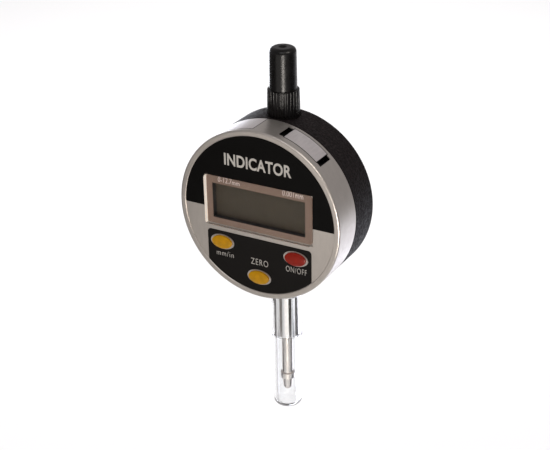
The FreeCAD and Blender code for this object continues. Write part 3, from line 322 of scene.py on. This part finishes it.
def lid_plastic_gap_shade(name):
    """Silver plastic with a dark line of painted shadow round the edge of a lid that is flush in the rim, where
    the gap round it lies in shade.
    """
    made = moulded_silver(name + "_plastic", 0.0006, (1, 0.15, 1))
    slide = next(joint for joint in frame["joints"] if joint["child"] == name)
    outward = Vector(slide["axis"]).normalized()
    along = Vector((outward.z, 0, -outward.x))
    outer = [vertex.co for vertex in nodes[name].data.vertices
             if (vertex.co - face_centre).dot(outward) > face_radius - LID_OUTER_DEPTH]
    place = made.place()
    shade_lines = []
    for axis in (along, Vector((0, 1, 0))):
        spots = [spot.dot(axis) for spot in outer]
        across = made.node("ShaderNodeVectorMath", operation="DOT_PRODUCT", Vector=place)
        across.inputs[1].default_value = axis
        for edge, inward in ((min(spots), 1), (max(spots), -1)):
            shade_lines.append(made.ramp(across.outputs["Value"], 0, 1, edge + inward * LID_SHADE_START,
                                   edge + inward * LID_SHADE_END))
    unshaded = shade_lines[0]
    for line in shade_lines[1:]:
        unshaded = made.math("MULTIPLY", unshaded, line)
    # Painted shadow along the lid's edges, for the shade in the gap round it.
    return made.paint_shade(made.ramp(unshaded, 1, 0, 0, 1))


def screw_steel_recess_shade():
    """Steel whose cross recess, sunk under the head's outer face, is darkened with painted shade."""
    made = turned_metal("screw_steel_recess_shade", STEEL, 0.3)
    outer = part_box("back_screw_1")[1].y
    depth = made.place_parts()["Y"]
    # Painted shade: the recess goes dark with depth below the head's outer face.
    return made.paint_shade(made.ramp(depth, 1, 0, outer - RECESS_START, outer - RECESS_END))


def brass():
    return turned_metal("brass", (0.60, 0.43, 0.18), 0.25)


def alloy():
    return turned_metal("alloy", (0.55, 0.55, 0.56), 0.35)


def board():
    made = Finish("board", (0.012, 0.085, 0.035), roughness=0.35)
    return made.vary_colour(made.noise(0.0006, detail=2), 0.25)


def ribbon():
    made = Finish("ribbon", (0.40, 0.17, 0.03), roughness=0.3)
    return made.vary_colour(made.noise(0.0005, detail=2), 0.15)


def rubber():
    made = Finish("rubber", (0.015, 0.015, 0.015), roughness=0.7)
    return made.bump(made.noise(0.0003, detail=3), depth=0.00002, strength=0.6)


def ink(name, colour):
    made = Finish(name, colour, roughness=0.5)
    return made.vary_colour(made.noise(0.0004, detail=2), 0.06)


def print_ink():
    return ink("print_ink", (0.64, 0.60, 0.53))


def faint_ink():
    return ink("faint_ink", (0.78, 0.67, 0.60))


def frosted_glow():
    made = Finish("frosted_glow", (0.95, 0.88, 0.78), roughness=0.5)
    # Painted light: the emission makes the frosting glow as a highlight, though no lamp lights it.
    made.set("Emission Color", (1, 0.90, 0.78, 1)).set("Emission Strength", 0.25)
    made.vary_colour(made.noise(0.0007, detail=3), 0.06)
    return made.bump(made.noise(0.0002, detail=2), depth=0.000006, strength=0.5)


def gold():
    made = Finish("gold", (0.75, 0.52, 0.20), roughness=0.22, metallic=1.0)
    return made.vary_roughness(made.noise(0.0004, detail=2), 0.06)


# A lighter copy of the black panel: its raised colour is a painted reflection on the keypad.
def keypad_panel_sheen():
    return black_panel("keypad_panel_sheen", (0.0062, 0.0048, 0.0038), 0.1)


FINISH_MAKERS = (satin_silver, silver_plastic, black_crinkle, black_panel, black_plastic, black_gloss,
                 clear_lens, clear_plastic, bronze_print, lcd, yellow_button, red_button, chrome,
                 hard_steel, steel, brass, alloy, board, ribbon, rubber, print_ink, faint_ink, gold,
                 frosted_glow, screw_steel_recess_shade, keypad_panel_sheen)
LIDS = ("battery_drawer", "port_cover")
BACK_SCREWS = ("back_screw_1", "back_screw_2", "back_screw_3", "back_screw_4")
finishes = {make.__name__: make().material for make in FINISH_MAKERS}
finishes.update({lid: lid_plastic_gap_shade(lid).material for lid in LIDS})


def dress_cad():
    """Give every CAD node the finish of its slot, and a few nodes one of their own. Light passes the
    clear nodes unbent on its way to matt surfaces."""
    for part in frame["record"]["subparts"]:
        for slot in nodes[part["node"]].material_slots:
            slot.material = finishes[part["material_slot"]]
    nodes["keypad_label"].material_slots[0].material = finishes["keypad_panel_sheen"]
    for lid in LIDS:
        nodes[lid].material_slots[0].material = finishes[lid]
    for screw in BACK_SCREWS:
        nodes[screw].material_slots[0].material = finishes["screw_steel_recess_shade"]
    for clear in ("display_lens", "guard_tube"):
        nodes[clear].visible_shadow = False
        nodes[clear].visible_diffuse = False


# ---------------------------------------------------------------- pieces

def on_face(x, up):
    """A point on the face's front plane, given in millimetres right of and above its centre."""
    return face_centre + Vector((x, 0, up)) * MM


def add_piece(name, mesh, body, finish):
    """Put a mesh in the scene as a visible piece of `body`."""
    piece = bpy.data.objects.new(name, mesh)
    bpy.context.scene.collection.objects.link(piece)
    mesh.materials.clear()
    mesh.materials.append(finishes[finish])
    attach(piece, body)


PRINT_THICKNESS = 0.02 * MM
MASK_GAP = 0.01 * MM
# Letters are made FONT_EXTRUDE thick and then scaled to PRINT_THICKNESS.
FONT_EXTRUDE = 0.02
CURVE_STEPS = 6
BOLD = {"weight": 0.026, "spacing": 1.04}
THIN = {"weight": -0.010, "spacing": 1.16}
FAINT = {"weight": 0.012, "spacing": 1.05}


def lettering(name, words, left, right, low, high, surface, finish, slot, weight, spacing):
    """Printed words as a thin raised layer on the display unit, on the plane y = `surface`. Their box
    on the face is given in millimetres from its centre."""
    curve = bpy.data.curves.new(name, "FONT")
    curve.body = words
    curve.extrude = FONT_EXTRUDE
    curve.offset = weight
    curve.space_character = spacing
    curve.resolution_u = CURVE_STEPS
    scratch = bpy.data.objects.new(name + "_scratch", curve)
    bpy.context.scene.collection.objects.link(scratch)
    bpy.context.view_layer.update()
    graph = bpy.context.evaluated_depsgraph_get()
    mesh = bpy.data.meshes.new_from_object(scratch.evaluated_get(graph))
    bpy.data.objects.remove(scratch)
    corners = [vertex.co for vertex in mesh.vertices]
    lowest = Vector([min(corner[axis] for corner in corners) for axis in range(3)])
    highest = Vector([max(corner[axis] for corner in corners) for axis in range(3)])
    size = highest - lowest
    start, end = on_face(left, low), on_face(right, high)
    for vertex in mesh.vertices:
        share = vertex.co - lowest
        vertex.co = Vector((
            start.x + share.x / size.x * (end.x - start.x),
            surface - share.z / size.z * PRINT_THICKNESS,
            start.z + share.y / size.y * (end.z - start.z),
        ))
    add_piece(name, mesh, "display_unit", finish)


def add_lettering():
    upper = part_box("upper_label")[0].y
    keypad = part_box("keypad_label")[0].y
    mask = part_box("lens_mask")[0].y - MASK_GAP
    lettering("label_title", "INDICATOR", -12.3, 12.8, 16.3, 20.6, upper,
              "print_ink", "black_panel", **BOLD)
    lettering("label_range", "0-12.7mm", -15.2, -6.8, 9.5, 11.1, mask,
              "faint_ink", "bronze_print", **FAINT)
    lettering("label_step", "0.001mm", 9.2, 16.9, 9.6, 11.2, mask,
              "faint_ink", "bronze_print", **FAINT)
    lettering("label_mm_in", "mm/in", -16.6, -9.9, -17.7, -15.8, keypad,
              "print_ink", "black_panel", **THIN)
    lettering("label_zero", "ZERO", -3.1, 3.5, -18.1, -15.8, keypad,
              "print_ink", "black_panel", **THIN)
    lettering("label_on_off", "ON/OFF", 10.3, 18.1, -17.7, -15.6, keypad,
              "print_ink", "black_panel", **THIN)


# The cove's section runs from (inset, setback) behind the lens's front corner to (reach, mask - gap).
LENS_EDGE_INSET = 0.06 * MM
LENS_EDGE_SETBACK = 0.28 * MM
LENS_EDGE_REACH = 0.50 * MM
LENS_EDGE_GAP = 0.03 * MM
LENS_EDGE_STEPS = 6
LENS_EDGE_CURVE = 1.4
LENS_EDGE_END = 0.3 * MM
LENS_EDGE_FULL = 1.1 * MM
LENS_EDGE_TAPER = 0.7


def add_lens_edge():
    """The cut edge inside the left end of the lens, in cream frosting that glows as a painted highlight: a cove
    from its front to the mask, a little narrower at its top and bottom ends."""
    low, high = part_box("display_lens")
    start = Vector((low.x + LENS_EDGE_INSET, low.y + LENS_EDGE_SETBACK))
    end = Vector((low.x + LENS_EDGE_REACH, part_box("lens_mask")[0].y - LENS_EDGE_GAP))
    shares = [step / LENS_EDGE_STEPS for step in range(LENS_EDGE_STEPS + 1)]
    profile = [(start.x + (end.x - start.x) * share ** LENS_EDGE_CURVE,
                start.y + (end.y - start.y) * share) for share in shares]
    profile.append((start.x, end.y))
    levels = [(low.z + LENS_EDGE_END, LENS_EDGE_TAPER), (low.z + LENS_EDGE_FULL, 1),
              (high.z - LENS_EDGE_FULL, 1), (high.z - LENS_EDGE_END, LENS_EDGE_TAPER)]
    corners = [(end.x + (x - end.x) * width, y, z) for z, width in levels for x, y in profile]
    count = len(profile)
    faces = [tuple(reversed(range(count))), tuple(range(len(corners) - count, len(corners)))]
    for level in range(len(levels) - 1):
        for index in range(count):
            after = (index + 1) % count
            faces.append((level * count + index, level * count + after,
                          (level + 1) * count + after, (level + 1) * count + index))
    mesh = bpy.data.meshes.new("lens_edge")
    mesh.from_pydata(corners, [], faces)
    add_piece("lens_edge", mesh, "display_unit", "frosted_glow")


PAD_COUNT = 6
PAD_WIDTH = 0.9 * MM
PAD_CORNER = 0.2 * MM
PAD_THICKNESS = 0.04 * MM
PAD_GAP = 0.002 * MM
PAD_LENGTH_SHARE = 0.72


def add_port_pads():
    """A row of gold pads on the contact board under the port cover."""
    slide = next(joint for joint in frame["joints"] if joint["name"] == "port_cover_slide")
    outward = Vector(slide["axis"]).normalized()
    along = Vector((outward.z, 0, -outward.x))
    spots = [vertex.co for vertex in nodes["port_contacts"].data.vertices]
    top = max(spot.dot(outward) for spot in spots)
    start, end = min(spot.dot(along) for spot in spots), max(spot.dot(along) for spot in spots)
    front, back = min(spot.y for spot in spots), max(spot.y for spot in spots)
    half_wide, half_long = PAD_WIDTH / 2, (back - front) * PAD_LENGTH_SHARE / 2
    outline = [(half_wide - PAD_CORNER, half_long), (half_wide, half_long - PAD_CORNER)]
    outline += [(x, -y) for x, y in reversed(outline)]
    outline += [(-x, -y) for x, y in outline]
    corners, faces = [], []
    for number in range(PAD_COUNT):
        middle = start + (end - start) * (number + 0.5) / PAD_COUNT
        first, count = len(corners), len(outline)
        for height in (top + PAD_GAP, top + PAD_THICKNESS):
            corners += [along * (middle + x) + outward * height + Vector((0, (front + back) / 2 + y, 0))
                        for x, y in outline]
        faces.append(tuple(range(first + count - 1, first - 1, -1)))
        faces.append(tuple(range(first + count, first + 2 * count)))
        faces += [(first + side, first + (side + 1) % count, first + count + (side + 1) % count,
                   first + count + side) for side in range(count)]
    mesh = bpy.data.meshes.new("port_pads")
    mesh.from_pydata(corners, [], faces)
    add_piece("port_pads", mesh, "display_unit", "gold")


# ---------------------------------------------------------------- stage

AZIMUTH = math.radians(29.71)
ELEVATION = math.radians(25.94)
ROLL = math.radians(-1.113)
CAMERA_DISTANCE = 416.5 * MM
AIM_RIGHT = 5.74 * MM
AIM_UP = -2.64 * MM
LENS_MM = 82.77
SENSOR_MM = 36

FLOOR_DROP = 0.30
FLOOR_REACH = 6.0
WORLD_COLOUR = (1, 0.96, 0.98)
WORLD_STRENGTH = 0.42
WHITE = (1, 1, 1)
WARM = (1, 0.94, 0.87)
CREAM = (1, 0.92, 0.82)
PEARL = (0.87, 0.91, 1)
LAVENDER = (0.81, 0.84, 1)

FLAG_DISTANCE = 0.40
POINT_FLAG_DISTANCE = 0.22
STEM_BAND = (-0.263, -0.190)
TUBE_BAND = (-0.345, -0.266)
CAP_BAND = (-0.186, -0.030)
RING_BAND = (-0.235, -0.020)
POINT_BAND = (-0.345, -0.225)
FLAG_TINT = (1, 0.93, 0.84)

# Name, degrees round from the camera, width, shade, heights and, for some, distance from the axis.
FLAGS = (
    ("flag_stem_right", 29, 0.20, 0.035, STEM_BAND),
    ("flag_stem_side", 93, 0.185, 0.035, STEM_BAND),
    ("flag_stem_left", -56.5, 0.19, 0.22, STEM_BAND),
    ("flag_stem_dark", -122, 0.17, 0.05, STEM_BAND),
    ("flag_stem_back", 166, 0.06, 0.15, STEM_BAND),
    ("flag_tube_right", 84, 0.55, 0.01, TUBE_BAND),
    ("flag_tube_left", -98, 0.30, 0.03, TUBE_BAND),
    ("flag_point_right", 78, 0.20, 0.02, POINT_BAND, POINT_FLAG_DISTANCE),
    ("flag_point_left", -84, 0.20, 0.02, POINT_BAND, POINT_FLAG_DISTANCE),
    ("flag_ring_left", -142, 0.22, 0.03, RING_BAND),
    ("flag_cap_right", 78, 0.42, 0.02, CAP_BAND),
    ("flag_cap_left", -92, 0.46, 0.02, CAP_BAND),
)


def add_camera():
    """Camera at the photograph's angle, aimed a little beside the face's centre."""
    away = Vector((math.sin(AZIMUTH) * math.cos(ELEVATION), -math.cos(AZIMUTH) * math.cos(ELEVATION),
                   math.sin(ELEVATION)))
    level = Vector((math.cos(AZIMUTH), math.sin(AZIMUTH), 0))
    rise = away.cross(level)
    right = level * math.cos(ROLL) + rise * math.sin(ROLL)
    top = rise * math.cos(ROLL) - level * math.sin(ROLL)
    place = face_centre + right * AIM_RIGHT + top * AIM_UP + away * CAMERA_DISTANCE
    data = bpy.data.cameras.new("camera")
    data.lens = LENS_MM
    data.sensor_width = SENSOR_MM
    data.clip_start = 10 * MM
    camera = bpy.data.objects.new("camera", data)
    bpy.context.scene.collection.objects.link(camera)
    axes = Matrix((right, top, away)).transposed().to_4x4()
    camera.matrix_world = Matrix.Translation(place) @ axes
    bpy.context.scene.camera = camera


def add_softbox(name, place, size, radiance, target=None, colour=WHITE, mirrored=True, lit=True):
    """An area light of a given radiance. A `mirrored` one shows in glossy surfaces, a `lit` one lights
    matt ones."""
    data = bpy.data.lights.new(name, "AREA")
    data.shape = "RECTANGLE"
    data.size, data.size_y = size
    data.energy = radiance * math.pi * size[0] * size[1]
    data.color = colour
    lamp = bpy.data.objects.new(name, data)
    bpy.context.scene.collection.objects.link(lamp)
    lamp.location = place
    aim = (target or face_centre) - Vector(place)
    lamp.rotation_euler = aim.to_track_quat("-Z", "Y").to_euler()
    lamp.visible_camera = False
    lamp.visible_glossy = mirrored
    lamp.visible_transmission = mirrored
    lamp.visible_diffuse = lit


def add_floor():
    """A plain pale floor well below the indicator, which is held up by its stem."""
    drop = cad_bounds[0].z - FLOOR_DROP
    sides = ((-1, -1), (1, -1), (1, 1), (-1, 1))
    corners = [(FLOOR_REACH * x, FLOOR_REACH * y, drop) for x, y in sides]
    mesh = bpy.data.meshes.new("floor")
    mesh.from_pydata(corners, [], [(0, 1, 2, 3)])
    floor = bpy.data.objects.new("floor", mesh)
    bpy.context.scene.collection.objects.link(floor)
    pale = Finish("pale_floor", (0.86, 0.86, 0.86), roughness=0.9).set("Specular IOR Level", 0)
    mesh.materials.append(pale.material)


def add_flag(name, turn, width, shade, band, distance=FLAG_DISTANCE):
    """A dark card hung beside the view, `turn` degrees round from the camera and between two heights,
    for dark bands in the stem, tube, spindle, cap and ring. Only mirrored and refracted rays see it."""
    away = Vector((math.sin(AZIMUTH), -math.cos(AZIMUTH), 0))
    away.rotate(Euler((0, 0, math.radians(turn))))
    side = Vector((-away.y, away.x, 0)) * width / 2
    foot = away * distance + Vector((0, 0, band[0]))
    rise = Vector((0, 0, band[1] - band[0]))
    corners = [foot - side, foot + side, foot + side + rise, foot - side + rise]
    mesh = bpy.data.meshes.new(name)
    mesh.from_pydata(corners, [], [(0, 1, 2, 3)])
    flag = bpy.data.objects.new(name, mesh)
    bpy.context.scene.collection.objects.link(flag)
    mesh.materials.append(Finish(name, [shade * part for part in FLAG_TINT], roughness=0.9).material)
    flag.visible_camera = False
    flag.visible_diffuse = False
    flag.visible_shadow = False


def add_lights():
    """Even light on the pale floor and the object, and cards for the highlights in metal and gloss."""
    world = bpy.data.worlds.new("studio")
    world.use_nodes = True
    background = world.node_tree.nodes["Background"]
    background.inputs["Color"].default_value = (*WORLD_COLOUR, 1)
    background.inputs["Strength"].default_value = WORLD_STRENGTH
    bpy.context.scene.world = world
    for flag in FLAGS:
        add_flag(*flag)
    floor_back = Vector((-0.5, 0.9, -0.35))
    add_softbox("floor_wash", (-0.5, 0.9, 1.1), (1.8, 1.8), 2.65, floor_back, mirrored=False)
    add_softbox("key_softbox", (0.2, -0.5, 0.6), (0.45, 0.35), 2.4)
    add_softbox("left_back_card", (-0.52, 0.45, -0.12), (0.42, 0.36), 5.5, colour=PEARL, lit=False)
    add_softbox("back_right_card", (0.10, 0.46, -0.25), (0.44, 0.22), 1.6, colour=LAVENDER, lit=False)
    add_softbox("low_right_card", (0.12, 0.20, -0.33), (0.3, 0.24), 0.95, colour=LAVENDER, lit=False)
    add_softbox("edge_card", (0.5, -0.08, 0.5), (0.25, 0.25), 7.0, colour=WARM, lit=False)
    add_softbox("face_card", (-0.17, -0.70, -0.2), (0.5, 0.4), 0.78, colour=WARM, lit=False)
    add_softbox("low_front_card", (0.170, -0.362, -0.25), (0.28, 0.14), 0.34, colour=CREAM, lit=False)
    add_softbox("stem_side_card", (0.44, 0.01, -0.26), (0.28, 0.12), 0.5, colour=PEARL, lit=False)
    add_softbox("cap_strip", (0.25, -0.44, -0.15), (0.16, 0.15), 34.0, colour=WARM, lit=False)


bpy.context.scene.view_settings.view_transform = "Standard"
dress_cad()
add_lettering()
add_lens_edge()
add_port_pads()
add_camera()
add_floor()
add_lights()
